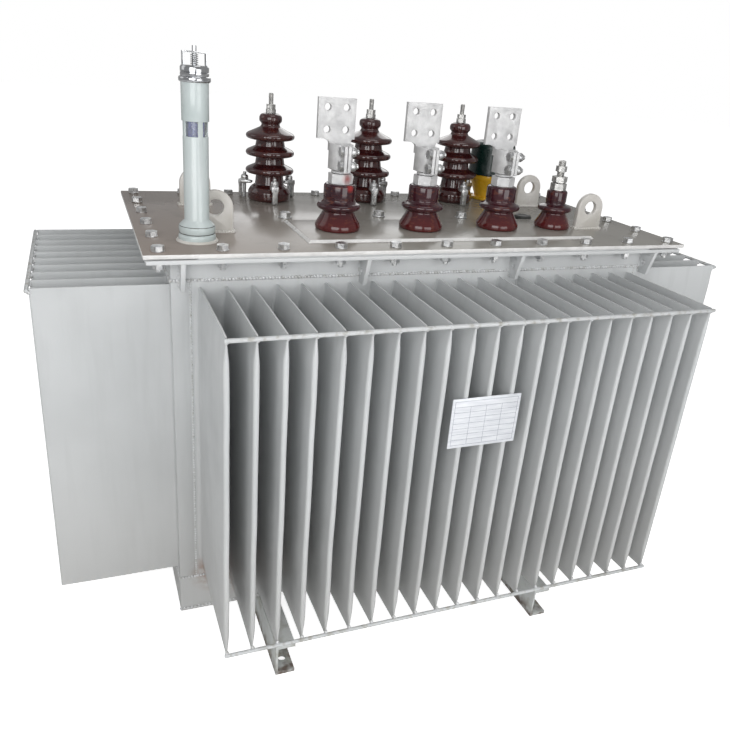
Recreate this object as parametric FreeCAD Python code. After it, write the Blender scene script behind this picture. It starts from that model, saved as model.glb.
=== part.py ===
"""Oil-filled distribution transformer with corrugated fin walls, standing on two channel skids.

Millimetres. X runs along the long side, Y from the low-voltage side to the high-voltage side,
Z up. The origin is on the floor, under the middle of the tank.
"""
import FreeCAD, Part
import math
import os

from FreeCAD import Vector

# ---- Driving dimensions -------------------------------------------------------------------
# Tank body, outer faces
tank_length = 1108.0
tank_width = 506.0
floor_plate_thickness = 8.0
band_plate_thickness = 6.0
corrugated_sheet_thickness = 3.0
lower_band_height = 86.0
sheet_margin = 14.0
upper_band_height = 43.0

# Cooling fins
fin_pitch = 50.0
fin_height = 660.0
fin_thickness = 11.0
fin_pinch_thickness = 3.0
fin_pinch_height = 55.0
long_side_fin_count = 21
long_side_fin_depth = 266.0
end_fin_count = 10
end_fin_depth = 243.0
fin_bar_diameter = 8.0
fin_bar_end_reach = 5.0

# Flange, gasket and cover
flange_overhang = 46.0
flange_thickness = 8.0
gasket_thickness = 4.0
gasket_width = 20.0
gasket_outer_setback = 33.0
stop_strip_width = 10.0
stop_strip_setback = 2.0
stop_strip_corner_gap = 88.0
cover_overhang = 51.0
cover_thickness = 8.0

# Brackets under the flange
bracket_thickness = 8.0
bracket_reach = 44.0
bracket_foot_reach = 26.0
bracket_hole_diameter = 10.0
bracket_corner_inset = 19.0
bracket_inner_x = 177.0

# Skids, rolled channels with their backs to -X
skid_height = 80.0
skid_flange_width = 43.0
skid_web_thickness = 5.0
skid_flange_thickness = 8.0
skid_length = 840.0
skid_gauge = 660.0
skid_pair_offset_x = -20.0
skid_hole_spacing = 760.0
skid_hole_diameter = 18.0

# Lifting lugs on the cover
lug_spacing_x = 900.0
lug_spacing_y = 270.0
lug_width = 70.0
lug_height = 84.0
lug_thickness = 12.0
lug_hole_diameter = 32.0
lug_hole_height = 50.0

# High-voltage bushings
hv_spacing = 257.0
hv_row_y = 208.0
hv_base_radius = 52.0
hv_body_radius = 33.5
hv_shed_radius = 59.0
hv_shed_heights = (73.0, 115.0, 154.0)
hv_base_height = 33.0
hv_neck_radius = 21.0
hv_cap_radius = 27.5
hv_cap_height = 193.0
hv_porcelain_height = 204.0
hv_stud_radius = 6.0
hv_stud_height = 250.0
hv_nut_across_flats = 20.0
hv_nut_stack = 22.0

# Hold-down clamps round each high-voltage bushing
clamp_count = 3
clamp_first_angle = -93.0
clamp_stud_circle_radius = 65.0
clamp_stud_radius = 5.0
clamp_height = 62.0
clamp_width = 20.0
clamp_claw_thickness = 9.0
clamp_claw_clearance = 1.5
clamp_claw_tip_radius = 44.0
clamp_outer_radius = 79.0
clamp_foot_thickness = 7.0
clamp_nut_across_flats = 17.0
clamp_nut_height = 9.0

# Low-voltage bushings and the neutral, on a raised pad
lv_spacing = 194.0
lv_row_y = -142.0
lv_pad_thickness = 6.0
lv_pad_left = -286.0
lv_pad_right = 395.0
lv_pad_front = -240.0
lv_pad_rear = -50.0
lv_base_radius = 48.0
lv_neck_radius = 30.0
lv_shed_radius = 46.5
lv_head_radius = 34.0
lv_neck_height = 40.0
lv_shed_height = 50.0
lv_head_bottom_height = 58.0
lv_porcelain_height = 95.0
lv_stud_radius = 15.0
lv_nut_across_flats = 46.0
lv_nut_height = 27.0
lv_stud_height = 168.0
neutral_x = 345.0
neutral_scale = 0.86
neutral_height_scale = 0.92
neutral_head_radius = 23.5
neutral_stud_radius = 9.0
neutral_nut_across_flats = 30.0
neutral_nut_stack = 33.0
neutral_stud_height = 154.0

# Flag terminals clamped on the low-voltage studs: a split barrel with two ears in front
terminal_bore_clearance = 0.3
terminal_radius = 23.0
terminal_back_depth = 18.0
terminal_height = 50.0
terminal_split_gap = 2.0
terminal_lift = 1.0
ear_thickness = 6.0
ear_reach = 44.0
ear_centre_shift = -2.0
flag_width = 80.0
flag_height = 79.0
flag_thickness = 10.0
flag_neck_height = 8.0
flag_neck_lap = 15.0
flag_shoulder_flat = 5.0
flag_face_setback = 15.0
flag_centre_shift = -9.0
flag_hole_spacing_x = 40.0
flag_hole_spacing_z = 43.0
flag_hole_diameter = 14.0
clamp_bolt_radius = 5.0
clamp_bolt_clearance = 0.5
clamp_bolt_across_flats = 16.0
clamp_bolt_head = 7.0
clamp_bolt_nut = 9.0
clamp_bolt_end = 5.0
clamp_bolt_setback = 10.0
clamp_bolt_spacing = 28.0

# Oil filling tube with its level window and breather cap
filler_x = -496.0
filler_y = -202.0
filler_socket_radius = 35.0
filler_socket_height = 16.0
filler_collar_radius = 33.0
filler_collar_height = 15.0
filler_flare_height = 10.0
filler_lower_radius = 23.0
filler_upper_radius = 24.5
filler_wall = 2.5
filler_window_bottom = 191.0
filler_window_height = 26.0
filler_window_bar = 9.0
filler_window_count = 4
filler_tube_top = 282.0
sight_glass_clearance = 0.2
sight_glass_wall = 2.0
sight_glass_end_lap = 6.0
filler_cap_radius = 28.0
filler_cap_ring_height = 9.0
filler_cap_neck_radius = 25.0
filler_cap_neck_height = 18.0
yoke_width = 43.0
yoke_depth = 13.0
yoke_strap = 3.0
yoke_height = 23.0
yoke_stem_radius = 4.0
yoke_stem_rise = 9.0

# Pressure relief valve
relief_x = 384.0
relief_y = 236.0
relief_neck_radius = 36.0
relief_flange_height = 8.0
relief_flange_reach = 10.0
relief_drum_radius = 57.0
relief_cone_top = 60.0
relief_drum_top = 70.0
relief_cap_radius = 64.0
relief_cap_height = 88.0

# Small fittings on the cover
tap_changer_x = 104.0
tap_changer_y = 118.0
tap_changer_radius = 26.0
tap_changer_base_height = 10.0
tap_changer_knob_radius = 20.0
tap_changer_knob_height = 20.0
thermometer_x = 338.0
thermometer_y = -26.0
thermometer_radius = 22.0
thermometer_height = 10.0

# Rating plate on the front fin tips
plate_width = 148.0
plate_height = 105.0
plate_thickness = 2.0
plate_centre_x = -5.0
plate_top_below_fin_tops = 151.0

# ---- Levels and outlines that follow from them --------------------------------------------
half_length = tank_length / 2
half_width = tank_width / 2
floor_z = skid_height
lower_band_z = floor_z + floor_plate_thickness
sheet_z = lower_band_z + lower_band_height
fin_z = sheet_z + sheet_margin
fin_top_z = fin_z + fin_height
upper_band_z = fin_top_z + sheet_margin
flange_z = upper_band_z + upper_band_height
gasket_z = flange_z + flange_thickness
cover_z = gasket_z + gasket_thickness
cover_top = cover_z + cover_thickness
pad_top = cover_top + lv_pad_thickness

long_fin_span = (long_side_fin_count - 1) * fin_pitch
end_fin_span = (end_fin_count - 1) * fin_pitch
sheet_edge_margin_x = (half_length - long_fin_span / 2 - fin_thickness / 2) / 3
sheet_edge_margin_y = (half_width - end_fin_span / 2 - fin_thickness / 2) / 3
long_sheet_half = long_fin_span / 2 + fin_thickness / 2 + sheet_edge_margin_x
end_sheet_half = end_fin_span / 2 + fin_thickness / 2 + sheet_edge_margin_y
front_tip_y = -half_width - long_side_fin_depth
end_tip_x = half_length + end_fin_depth


def save(node, *solids):
    """Write one node. Several solids in a node are like pieces that don't touch."""
    shape = solids[0] if len(solids) == 1 else Part.makeCompound(list(solids))
    shape.exportStep("parts/%s.step" % node)


def block(x0, x1, y0, y1, z0, z1):
    return Part.makeBox(x1 - x0, y1 - y0, z1 - z0, Vector(x0, y0, z0))


def rod(x, y, z0, z1, radius):
    return Part.makeCylinder(radius, z1 - z0, Vector(x, y, z0))


def tube(x, y, z0, z1, outer, inner):
    return rod(x, y, z0, z1, outer).cut(rod(x, y, z0, z1, inner))


def frame(outer_half_x, outer_half_y, inner_half_x, inner_half_y, z0, z1):
    """A rectangular ring lying flat, centred on the tank."""
    outer = block(-outer_half_x, outer_half_x, -outer_half_y, outer_half_y, z0, z1)
    return outer.cut(block(-inner_half_x, inner_half_x, -inner_half_y, inner_half_y, z0, z1))


def prism(points, direction):
    """A flat outline pushed along a direction."""
    wire = Part.makePolygon([Vector(*point) for point in points + points[:1]])
    return Part.Face(wire).extrude(Vector(*direction))


def turned(profile, x, y, z):
    """A turned piece: the profile lists radius and height, from the axis back to the axis."""
    points = [(x + radius, y, z + height) for radius, height in profile]
    wire = Part.makePolygon([Vector(*point) for point in points + points[:1]])
    return Part.Face(wire).revolve(Vector(x, y, z), Vector(0, 0, 1), 360)


def hexagon(x, y, z0, z1, across_flats):
    corner = across_flats / math.sqrt(3)
    angles = [math.radians(60 * side) for side in range(6)]
    outline = [(x + corner * math.cos(a), y + corner * math.sin(a), z0) for a in angles]
    return prism(outline, (0, 0, z1 - z0))


def mirrored_x(shape):
    return shape.mirror(Vector(0, 0, 0), Vector(1, 0, 0))


def mirrored_y(shape):
    return shape.mirror(Vector(0, 0, 0), Vector(0, 1, 0))


# ---- Fin walls ----------------------------------------------------------------------------
def fin_outline(centre, place):
    """The end view of one fin: full in the middle, pinched flat towards its top and bottom."""
    half = fin_thickness / 2
    pinch = fin_pinch_thickness / 2
    low = fin_z + fin_pinch_height
    high = fin_top_z - fin_pinch_height
    outline = [(-pinch, fin_z), (pinch, fin_z), (half, low), (half, high)]
    outline += [(pinch, fin_top_z), (-pinch, fin_top_z), (-half, high), (-half, low)]
    return [place(centre + across, z) for across, z in outline]


def fin_positions(count):
    return [(index - (count - 1) / 2) * fin_pitch for index in range(count)]


def front_fin_wall():
    wall = block(-long_sheet_half, long_sheet_half, -half_width,
                 -half_width + corrugated_sheet_thickness, sheet_z, upper_band_z)
    fins = [prism(fin_outline(x, lambda a, z: (a, -half_width, z)), (0, -long_side_fin_depth, 0))
            for x in fin_positions(long_side_fin_count)]
    return wall.fuse(fins)


def left_fin_wall():
    wall = block(-half_length, -half_length + corrugated_sheet_thickness,
                 -end_sheet_half, end_sheet_half, sheet_z, upper_band_z)
    fins = [prism(fin_outline(y, lambda a, z: (-half_length, a, z)), (-end_fin_depth, 0, 0))
            for y in fin_positions(end_fin_count)]
    return wall.fuse(fins)


def corner_post(side_x, side_y):
    """An angle that closes the corner between a long wall and an end wall."""
    corner = (side_x * half_length, side_y * half_width)
    inner = (corner[0] - side_x * corrugated_sheet_thickness,
             corner[1] - side_y * corrugated_sheet_thickness)
    long_edge = side_x * long_sheet_half
    end_edge = side_y * end_sheet_half
    outline = [(long_edge, corner[1]), corner, (corner[0], end_edge), (inner[0], end_edge),
               inner, (long_edge, inner[1])]
    return prism([(x, y, sheet_z) for x, y in outline], (0, 0, upper_band_z - sheet_z))


def long_side_bar(z):
    """A round bar welded across the tips of the front fins."""
    reach = long_fin_span / 2 + fin_bar_end_reach
    radius = fin_bar_diameter / 2
    start = Vector(-reach, front_tip_y - radius, z)
    return Part.makeCylinder(radius, 2 * reach, start, Vector(1, 0, 0))


def end_bar():
    """A round bar welded across the tips of the left fins."""
    reach = end_fin_span / 2 + fin_bar_end_reach
    radius = fin_bar_diameter / 2
    start = Vector(-end_tip_x - radius, -reach, fin_top_z - radius)
    return Part.makeCylinder(radius, 2 * reach, start, Vector(0, 1, 0))


# ---- Flange, brackets and cover -----------------------------------------------------------
def bracket(x):
    """A gusset from the front of the upper band to the underside of the flange."""
    root = -half_width
    left = x - bracket_thickness / 2
    outline = [(left, root, fin_top_z), (left, root, flange_z),
               (left, root - bracket_reach, flange_z),
               (left, root - bracket_foot_reach, fin_top_z)]
    plate = prism(outline, (bracket_thickness, 0, 0))
    hole_y = root - bracket_foot_reach / 2
    hole_z = fin_top_z + bracket_foot_reach
    start = Vector(left, hole_y, hole_z)
    hole = Part.makeCylinder(bracket_hole_diameter / 2, bracket_thickness, start, Vector(1, 0, 0))
    return plate.cut(hole)


def stop_strips():
    """Flat steel that stops the gasket from being crushed: one strip along each side."""
    outer_x = half_length + flange_overhang - stop_strip_setback
    outer_y = half_width + flange_overhang - stop_strip_setback
    half_long = outer_x - stop_strip_corner_gap
    half_end = outer_y - stop_strip_corner_gap
    front = block(-half_long, half_long, -outer_y, -outer_y + stop_strip_width, gasket_z, cover_z)
    left = block(-outer_x, -outer_x + stop_strip_width, -half_end, half_end, gasket_z, cover_z)
    return front, mirrored_y(front), left, mirrored_x(left)


def lv_pad():
    """The raised plate, with its top edges bevelled."""
    bevel = lv_pad_thickness
    plate = block(lv_pad_left, lv_pad_right, lv_pad_front, lv_pad_rear, cover_top, pad_top)
    top = [edge for edge in plate.Edges if min(v.Z for v in edge.Vertexes) > pad_top - bevel / 2]
    return plate.makeChamfer(bevel * 0.8, top)


def lifting_lug(side_x, side_y):
    x = side_x * lug_spacing_x / 2
    y = side_y * lug_spacing_y / 2 - lug_thickness / 2
    radius = lug_width / 2
    crown_z = cover_top + lug_height - radius
    body = block(x - radius, x + radius, y, y + lug_thickness, cover_top, crown_z)
    crown = Part.makeCylinder(radius, lug_thickness, Vector(x, y, crown_z), Vector(0, 1, 0))
    hole = Part.makeCylinder(lug_hole_diameter / 2, lug_thickness,
                             Vector(x, y, cover_top + lug_hole_height), Vector(0, 1, 0))
    return body.fuse(crown).removeSplitter().cut(hole)


# ---- Skids --------------------------------------------------------------------------------
def skid(side):
    hole_x = skid_pair_offset_x + side * skid_gauge / 2
    back = hole_x - (skid_flange_width + skid_web_thickness) / 2
    toe = back + skid_flange_width
    web = back + skid_web_thickness
    half = skid_length / 2
    top = skid_height - skid_flange_thickness
    outline = [(back, 0), (toe, 0), (toe, skid_flange_thickness), (web, skid_flange_thickness),
               (web, top), (toe, top), (toe, skid_height), (back, skid_height)]
    channel = prism([(x, -half, z) for x, z in outline], (0, skid_length, 0))
    holes = [rod(hole_x, end * skid_hole_spacing / 2, 0, skid_flange_thickness,
                 skid_hole_diameter / 2) for end in (-1, 1)]
    return channel.cut(holes)


# ---- High-voltage bushings ----------------------------------------------------------------
def shed(height, body, edge):
    """One rain shed on a porcelain: a thin rounded rim, steep above and nearly flat below."""
    drop = (edge - body) / 4
    return [(body, height - 2 * drop), (edge - drop, height - drop), (edge, height - drop / 2),
            (edge, height + drop / 3), (body, height + 2 * drop)]


def hv_porcelain(x):
    profile = [(0, 0), (hv_base_radius - 3, 0), (hv_base_radius, 4),
               (hv_base_radius, hv_base_height * 0.6), (hv_base_radius - 7, hv_base_height),
               (hv_body_radius, hv_base_height + 4)]
    for height in hv_shed_heights:
        profile += shed(height, hv_body_radius, hv_shed_radius)
    profile[-1] = (hv_neck_radius, hv_cap_height - 12)
    bulge = hv_cap_radius - hv_neck_radius
    profile += [(hv_neck_radius, hv_cap_height - 9), (hv_cap_radius, hv_cap_height - 9 + bulge),
                (hv_cap_radius, hv_cap_height + 3), (hv_neck_radius, hv_porcelain_height),
                (0, hv_porcelain_height)]
    return turned(profile, x, hv_row_y, cover_top)


def hv_stud(x):
    bottom = cover_top + hv_porcelain_height
    stud = rod(x, hv_row_y, bottom, cover_top + hv_stud_height, hv_stud_radius)
    return stud.fuse(hexagon(x, hv_row_y, bottom, bottom + hv_nut_stack, hv_nut_across_flats))


def hv_clamp(x, angle):
    """A claw on the porcelain's foot, its outer leg on the cover, with a stud and nut."""
    claw_z = cover_top + hv_base_height + clamp_claw_clearance
    claw_top = claw_z + clamp_claw_thickness
    half = clamp_width / 2
    leg_x = clamp_outer_radius - clamp_foot_thickness
    claw = block(clamp_claw_tip_radius, clamp_outer_radius, -half, half, claw_z, claw_top)
    leg = block(leg_x, clamp_outer_radius, -half, half, cover_top, claw_top)
    stud = rod(clamp_stud_circle_radius, 0, cover_top, cover_top + clamp_height, clamp_stud_radius)
    nut = hexagon(clamp_stud_circle_radius, 0, claw_top, claw_top + clamp_nut_height,
                  clamp_nut_across_flats)
    clamp = claw.fuse([leg, stud, nut])
    clamp.rotate(Vector(0, 0, 0), Vector(0, 0, 1), angle)
    clamp.translate(Vector(x, hv_row_y, 0))
    return clamp


# ---- Low-voltage bushings -----------------------------------------------------------------
def lv_porcelain(x, scale, height_scale, head_radius, foot_z):
    base = lv_base_radius * scale
    neck = lv_neck_radius * scale
    rim = lv_shed_radius * scale
    waist = lv_neck_height * height_scale
    shed_level = lv_shed_height * height_scale
    top = lv_porcelain_height * height_scale
    profile = [(0, 0), (base - 3, 0), (base, 4), (base - 1, 10), (neck + 2, waist - 3),
               (neck, waist), (rim - 6, shed_level - 4), (rim, shed_level),
               (rim - 1, shed_level + 3), (head_radius, lv_head_bottom_height * height_scale),
               (head_radius, top - 3), (head_radius - 3, top), (0, top)]
    return turned(profile, x, lv_row_y, foot_z)


def lv_stud(x, seat_z, top_z, radius, across_flats, nut_height):
    stud = rod(x, lv_row_y, seat_z, top_z, radius)
    return stud.fuse(hexagon(x, lv_row_y, seat_z, seat_z + nut_height, across_flats))


def terminal_z():
    return pad_top + lv_porcelain_height + lv_nut_height + terminal_lift


def flag_bottom():
    return terminal_z() + terminal_height + flag_neck_height


def flag_shoulder(neck, edge):
    """The hollow curve from the neck's side out to the flag's lower corner."""
    clamp_top = terminal_z() + terminal_height
    steps = [math.radians(22.5 * step) for step in range(5)]
    return [(edge + (neck - edge) * math.cos(a), clamp_top + flag_neck_height * math.sin(a))
            for a in steps]


def flag_plate(x):
    """The four-hole flag with its neck, which laps down the back of the clamp."""
    left = x + flag_centre_shift - flag_width / 2
    right = left + flag_width
    neck_bottom = terminal_z() + terminal_height - flag_neck_lap
    top = flag_bottom() + flag_height
    outline = [(x - terminal_radius, neck_bottom), (x + terminal_radius, neck_bottom)]
    outline += flag_shoulder(x + terminal_radius, right - flag_shoulder_flat)
    outline += [(right, flag_bottom()), (right, top), (left, top), (left, flag_bottom())]
    outline += reversed(flag_shoulder(x - terminal_radius, left + flag_shoulder_flat))
    face_y = lv_row_y + flag_face_setback
    return prism([(across, face_y, z) for across, z in outline], (0, flag_thickness, 0))


def clamp_bolt_heights():
    middle = terminal_z() + terminal_height / 2
    return middle - clamp_bolt_spacing / 2, middle + clamp_bolt_spacing / 2


def ear_faces(x):
    """The outer faces of the two ears."""
    reach = terminal_split_gap / 2 + ear_thickness
    return x + ear_centre_shift - reach, x + ear_centre_shift + reach


def flag_terminal(x):
    """The split clamp and its flag, one casting."""
    bottom = terminal_z()
    top = bottom + terminal_height
    ear_left, ear_right = ear_faces(x)
    front = lv_row_y - ear_reach
    slot_x = x + ear_centre_shift
    gap = terminal_split_gap / 2
    body = rod(x, lv_row_y, bottom, top, terminal_radius)
    body = body.fuse([block(x - terminal_radius, x + terminal_radius, lv_row_y,
                            lv_row_y + terminal_back_depth, bottom, top),
                      block(ear_left, ear_right, front, lv_row_y, bottom, top),
                      flag_plate(x)]).removeSplitter()
    cuts = [rod(x, lv_row_y, bottom, top, lv_stud_radius + terminal_bore_clearance),
            block(slot_x - gap, slot_x + gap, front, lv_row_y, bottom, top)]
    for z in clamp_bolt_heights():
        start = Vector(ear_left, front + clamp_bolt_setback, z)
        cuts.append(Part.makeCylinder(clamp_bolt_radius + clamp_bolt_clearance,
                                      ear_right - ear_left, start, Vector(1, 0, 0)))
    face_y = lv_row_y + flag_face_setback
    for side_x in (-1, 1):
        for side_z in (-1, 1):
            start = Vector(x + flag_centre_shift + side_x * flag_hole_spacing_x / 2, face_y,
                           flag_bottom() + flag_height / 2 + side_z * flag_hole_spacing_z / 2)
            cuts.append(Part.makeCylinder(flag_hole_diameter / 2, flag_thickness, start,
                                          Vector(0, 1, 0)))
    return body.cut(cuts)


def clamp_bolt(x, z):
    """A bolt through both ears: head on the left, nut on the right."""
    y = lv_row_y - ear_reach + clamp_bolt_setback
    left, right = ear_faces(x)
    corner = clamp_bolt_across_flats / math.sqrt(3)
    outline = [(left, y + corner * math.cos(a), z + corner * math.sin(a))
               for a in [math.radians(60 * side) for side in range(6)]]
    head = prism(outline, (-clamp_bolt_head, 0, 0))
    nut = prism([(right, across, up) for left_x, across, up in outline], (clamp_bolt_nut, 0, 0))
    length = right - left + clamp_bolt_nut + clamp_bolt_end
    shank = Part.makeCylinder(clamp_bolt_radius, length, Vector(left, y, z), Vector(1, 0, 0))
    return shank.fuse([head, nut])


# ---- Oil filling tube ---------------------------------------------------------------------
def filler_socket():
    edge = 4
    profile = [(0, 0), (filler_socket_radius, 0), (filler_socket_radius, filler_socket_height - edge),
               (filler_socket_radius - edge, filler_socket_height), (0, filler_socket_height)]
    return turned(profile, filler_x, filler_y, cover_top)


def filler_tube():
    """Collar, flare and tube in one, with windows through the wall round the sight glass."""
    collar_top = filler_socket_height + filler_collar_height
    flare_top = collar_top + filler_flare_height
    window_top = filler_window_bottom + filler_window_height
    bore = filler_lower_radius - filler_wall
    profile = [(bore, filler_socket_height), (filler_collar_radius, filler_socket_height),
               (filler_collar_radius, collar_top), (filler_lower_radius, flare_top),
               (filler_lower_radius, window_top), (filler_upper_radius, window_top),
               (filler_upper_radius, filler_tube_top), (bore, filler_tube_top)]
    body = turned(profile, filler_x, filler_y, cover_top)
    gap = tube(filler_x, filler_y, cover_top + filler_window_bottom, cover_top + window_top,
               filler_upper_radius, bore - 1)
    reach = filler_upper_radius + 1
    bars = []
    for index in range(filler_window_count):
        bar = block(0, reach, -filler_window_bar / 2, filler_window_bar / 2,
                    cover_top + filler_window_bottom, cover_top + window_top)
        bar.rotate(Vector(0, 0, 0), Vector(0, 0, 1), -75 + 360 * index / filler_window_count)
        bar.translate(Vector(filler_x, filler_y, 0))
        bars.append(bar)
    return body.cut(gap.cut(bars))


def sight_glass():
    outer = filler_lower_radius - filler_wall - sight_glass_clearance
    bottom = cover_top + filler_window_bottom - sight_glass_end_lap
    top = cover_top + filler_window_bottom + filler_window_height + sight_glass_end_lap
    return tube(filler_x, filler_y, bottom, top, outer, outer - sight_glass_wall)


def filler_cap():
    ring_top = filler_tube_top + filler_cap_ring_height
    neck_top = ring_top + filler_cap_neck_height
    profile = [(0, filler_tube_top), (filler_cap_radius, filler_tube_top),
               (filler_cap_radius, ring_top), (filler_cap_neck_radius, ring_top + 2),
               (filler_cap_neck_radius, neck_top - 3), (filler_cap_neck_radius - 3, neck_top),
               (0, neck_top)]
    return turned(profile, filler_x, filler_y, cover_top)


def cap_yoke():
    """The strap over the cap, with the release stem through its top."""
    bottom = cover_top + filler_tube_top + filler_cap_ring_height + filler_cap_neck_height
    top = bottom + yoke_height
    half = yoke_width / 2
    depth = yoke_depth / 2
    left = filler_x - half
    strap = block(left, left + yoke_width, filler_y - depth, filler_y + depth, bottom, top)
    space = block(left + yoke_strap, left + yoke_width - yoke_strap, filler_y - depth,
                  filler_y + depth, bottom, top - yoke_strap)
    stem = rod(filler_x, filler_y, bottom, top + yoke_stem_rise, yoke_stem_radius)
    return strap.cut(space).fuse(stem)


# ---- Pressure relief valve and small fittings ---------------------------------------------
def relief_body():
    flange_radius = relief_neck_radius + relief_flange_reach
    profile = [(0, 0), (flange_radius, 0), (flange_radius, relief_flange_height),
               (relief_neck_radius, relief_flange_height), (relief_drum_radius, relief_cone_top),
               (relief_drum_radius, relief_drum_top), (0, relief_drum_top)]
    return turned(profile, relief_x, relief_y, cover_top)


def relief_cap():
    edge = 12
    profile = [(0, 0), (relief_cap_radius, 0), (relief_cap_radius, relief_cap_height - edge),
               (relief_cap_radius - edge, relief_cap_height), (0, relief_cap_height)]
    return turned(profile, relief_x, relief_y, cover_top + relief_drum_top)


def tap_changer():
    base = rod(tap_changer_x, tap_changer_y, cover_top, cover_top + tap_changer_base_height,
               tap_changer_radius)
    knob_z = cover_top + tap_changer_base_height
    knob = rod(tap_changer_x, tap_changer_y, knob_z, knob_z + tap_changer_knob_height,
               tap_changer_knob_radius)
    return base.fuse(knob)


def thermometer_pocket():
    edge = 4
    profile = [(0, 0), (thermometer_radius, 0), (thermometer_radius, thermometer_height - edge),
               (thermometer_radius - edge, thermometer_height), (0, thermometer_height)]
    return turned(profile, thermometer_x, thermometer_y, cover_top)


def rating_plate():
    left = plate_centre_x - plate_width / 2
    top = fin_top_z - plate_top_below_fin_tops
    return block(left, left + plate_width, front_tip_y - plate_thickness, front_tip_y,
                 top - plate_height, top)


# ---- Write every node ---------------------------------------------------------------------
os.makedirs("parts", exist_ok=True)

save("front_fin_wall", front_fin_wall())
save("rear_fin_wall", mirrored_y(front_fin_wall()))
save("left_fin_wall", left_fin_wall())
save("right_fin_wall", mirrored_x(left_fin_wall()))
save("corner_posts", *[corner_post(sx, sy) for sx in (-1, 1) for sy in (-1, 1)])
front_bars = [long_side_bar(z) for z in (fin_z + fin_bar_diameter / 2,
                                         fin_top_z - fin_bar_diameter / 2)]
save("long_side_fin_bars", *front_bars, *[mirrored_y(bar) for bar in front_bars])
save("end_fin_bars", end_bar(), mirrored_x(end_bar()))

inner_half_x = half_length - band_plate_thickness
inner_half_y = half_width - band_plate_thickness
save("tank_floor", block(-half_length, half_length, -half_width, half_width,
                         floor_z, lower_band_z))
save("lower_wall_band", frame(half_length, half_width, inner_half_x, inner_half_y,
                              lower_band_z, sheet_z))
save("upper_wall_band", frame(half_length, half_width, inner_half_x, inner_half_y,
                              upper_band_z, flange_z))
save("tank_flange", frame(half_length + flange_overhang, half_width + flange_overhang,
                          inner_half_x, inner_half_y, flange_z, gasket_z))
gasket_half_x = half_length + flange_overhang - gasket_outer_setback
gasket_half_y = half_width + flange_overhang - gasket_outer_setback
save("cover_gasket", frame(gasket_half_x, gasket_half_y, gasket_half_x - gasket_width,
                           gasket_half_y - gasket_width, gasket_z, cover_z))
save("gasket_stop_strips", *stop_strips())
save("cover_plate", block(-half_length - cover_overhang, half_length + cover_overhang,
                          -half_width - cover_overhang, half_width + cover_overhang,
                          cover_z, cover_top))
bracket_corner_x = half_length - bracket_corner_inset
front_brackets = [bracket(x) for x in (-bracket_corner_x, -bracket_inner_x, bracket_inner_x,
                                       bracket_corner_x)]
save("flange_brackets", *front_brackets, *[mirrored_y(plate) for plate in front_brackets])
save("lv_pad", lv_pad())
save("lifting_lugs", *[lifting_lug(sx, sy) for sx in (-1, 1) for sy in (-1, 1)])
save("left_skid", skid(-1))
save("right_skid", skid(1))

columns = (("a", -1), ("b", 0), ("c", 1))
for letter, column in columns:
    save("hv_bushing_" + letter, hv_porcelain(column * hv_spacing))
    save("lv_bushing_" + letter, lv_porcelain(column * lv_spacing, 1, 1, lv_head_radius, pad_top))
    save("lv_flag_terminal_" + letter, flag_terminal(column * lv_spacing))
save("hv_studs", *[hv_stud(column * hv_spacing) for letter, column in columns])
save("hv_clamps", *[hv_clamp(column * hv_spacing, clamp_first_angle + 360 * n / clamp_count)
                    for letter, column in columns for n in range(clamp_count)])
lv_seat, lv_stud_top = pad_top + lv_porcelain_height, pad_top + lv_stud_height
save("lv_studs", *[lv_stud(column * lv_spacing, lv_seat, lv_stud_top, lv_stud_radius,
                           lv_nut_across_flats, lv_nut_height) for letter, column in columns])
save("lv_clamp_bolts", *[clamp_bolt(column * lv_spacing, z) for letter, column in columns
                         for z in clamp_bolt_heights()])
save("neutral_bushing", lv_porcelain(neutral_x, neutral_scale, neutral_height_scale,
                                     neutral_head_radius, pad_top))
save("neutral_stud", lv_stud(neutral_x, pad_top + lv_porcelain_height * neutral_height_scale,
                             pad_top + neutral_stud_height, neutral_stud_radius,
                             neutral_nut_across_flats, neutral_nut_stack))
save("filler_socket", filler_socket())
save("filler_tube", filler_tube())
save("sight_glass", sight_glass())
save("filler_cap", filler_cap())
save("filler_cap_yoke", cap_yoke())
save("relief_valve_body", relief_body())
save("relief_valve_cap", relief_cap())
save("tap_changer", tap_changer())
save("thermometer_pocket", thermometer_pocket())
save("rating_plate", rating_plate())
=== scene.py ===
import math
import random

import bpy
from mathutils import Matrix, Vector


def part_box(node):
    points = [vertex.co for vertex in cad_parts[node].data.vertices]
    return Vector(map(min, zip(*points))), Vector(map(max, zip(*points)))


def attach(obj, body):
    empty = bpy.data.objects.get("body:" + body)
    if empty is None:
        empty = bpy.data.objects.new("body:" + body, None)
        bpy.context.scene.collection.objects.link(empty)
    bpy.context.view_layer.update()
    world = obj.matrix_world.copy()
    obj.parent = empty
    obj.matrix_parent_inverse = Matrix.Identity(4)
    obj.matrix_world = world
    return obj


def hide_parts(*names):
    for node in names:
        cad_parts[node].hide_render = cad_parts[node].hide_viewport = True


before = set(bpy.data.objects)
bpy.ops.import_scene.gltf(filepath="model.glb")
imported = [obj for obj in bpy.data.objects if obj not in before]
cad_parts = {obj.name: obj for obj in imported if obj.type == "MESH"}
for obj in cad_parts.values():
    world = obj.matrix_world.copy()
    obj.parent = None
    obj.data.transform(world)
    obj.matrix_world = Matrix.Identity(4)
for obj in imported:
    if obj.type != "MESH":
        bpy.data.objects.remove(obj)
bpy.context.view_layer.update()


# ---- Studio ---------------------------------------------------------------------------------
# A white seamless floor and white surroundings. One broad key panel stands low and near, to the
# left of the camera, and weaker panels keep the cover and the shaded ends readable.
def pick(*chosen):
    """Select only these objects; the first one is the one worked on."""
    bpy.ops.object.select_all(action="DESELECT")
    for piece in chosen:
        piece.select_set(True)
    bpy.context.view_layer.objects.active = chosen[0]


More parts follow.
